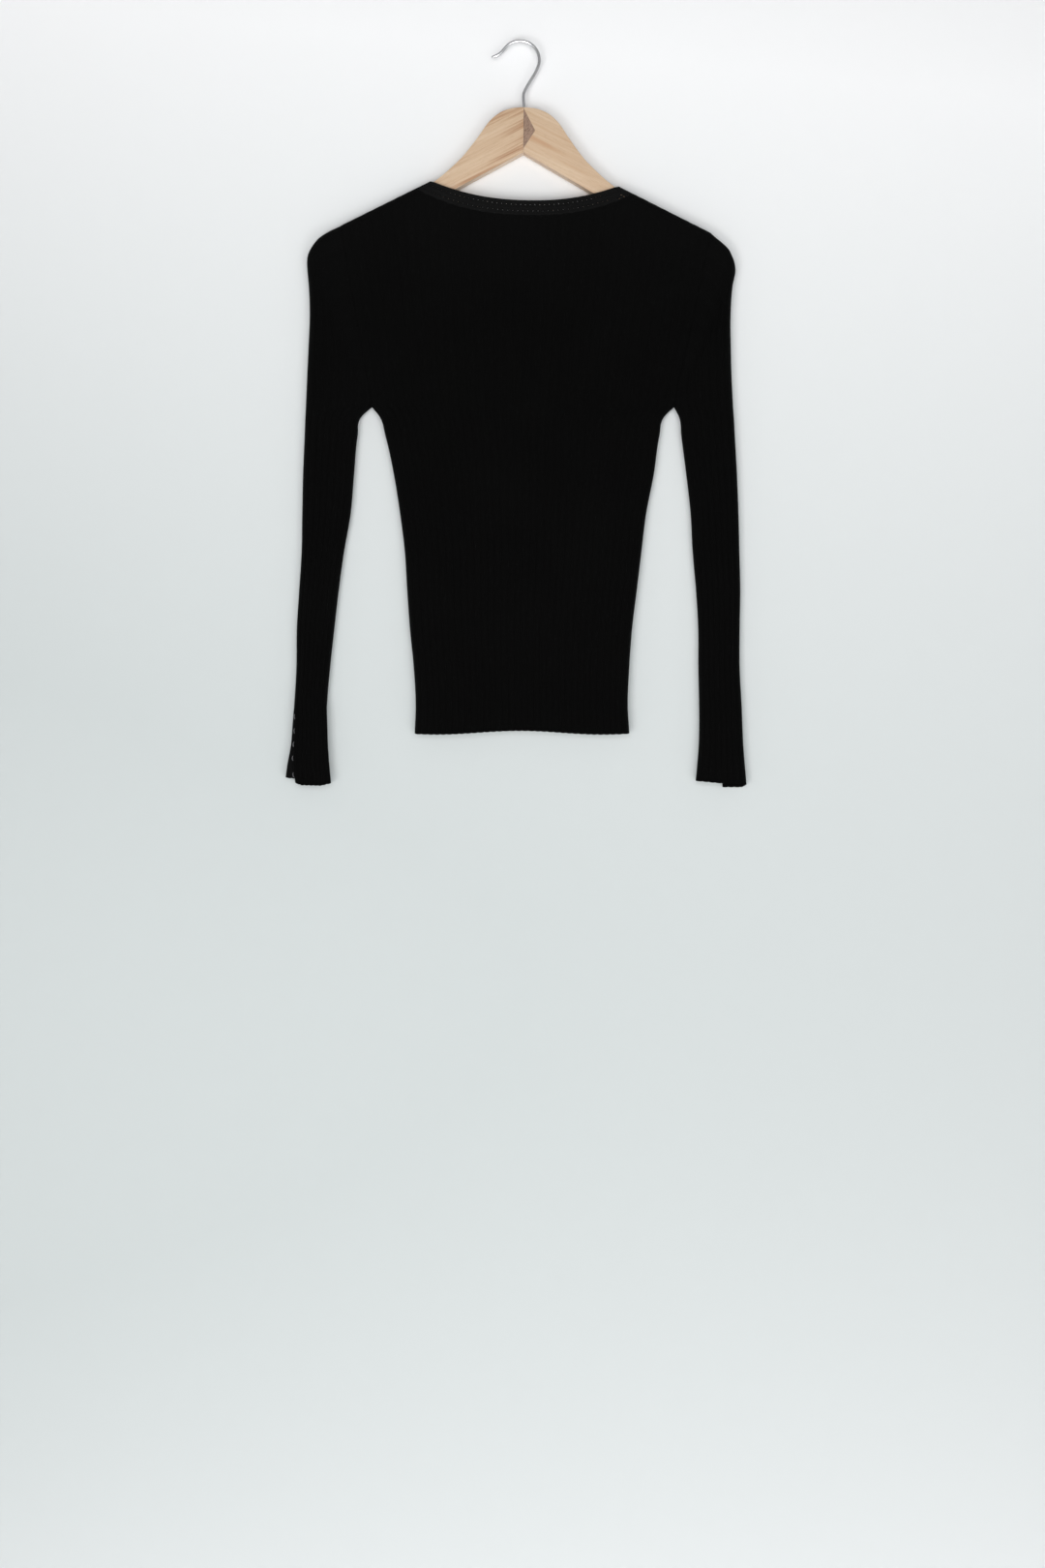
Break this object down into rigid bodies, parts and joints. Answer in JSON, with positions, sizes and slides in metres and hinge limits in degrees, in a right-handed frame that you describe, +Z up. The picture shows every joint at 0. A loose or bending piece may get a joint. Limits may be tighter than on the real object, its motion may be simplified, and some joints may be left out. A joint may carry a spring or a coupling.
{
  "type": "knitted sweater on a wooden hanger",
  "caption": "Fine rib-knit sweater with long sleeves and buttoned cuff slits, hanging by its shoulders on a flat wooden hanger with a wire hook.",
  "frame": {"origin": "the inside of the hanger hook's crown, where the hook bears on what holds it", "axes": "+Z up, from the hem to the hook; +Y through the cloth from the back to the front of the sweater; +X to the right of someone who looks at the back"},
  "size_m": [0.4858, 0.0233, 0.7878],
  "materials": {
    "knit": "matt fine rib knit",
    "trim": "matt close knit with small eyelets",
    "wood": "thin satin varnish",
    "steel": "polished wire",
    "button": "gloss with a bright rim"
  },
  "bodies": {
    "root": {"back": "knit", "front": "knit", "sleeve_left": "knit", "sleeve_right": "knit", "neckband_back": "trim", "neckband_front": "trim", "placket_left": "trim", "placket_right": "trim", "hanger_arm_left": "wood", "hanger_arm_right": "wood", "hanger_hook": "steel", "button_left_1": "button", "button_left_2": "button", "button_left_3": "button", "button_left_4": "button", "button_left_5": "button", "button_right_1": "button", "button_right_2": "button", "button_right_3": "button", "button_right_4": "button", "button_right_5": "button"}
  },
  "joints": []
}
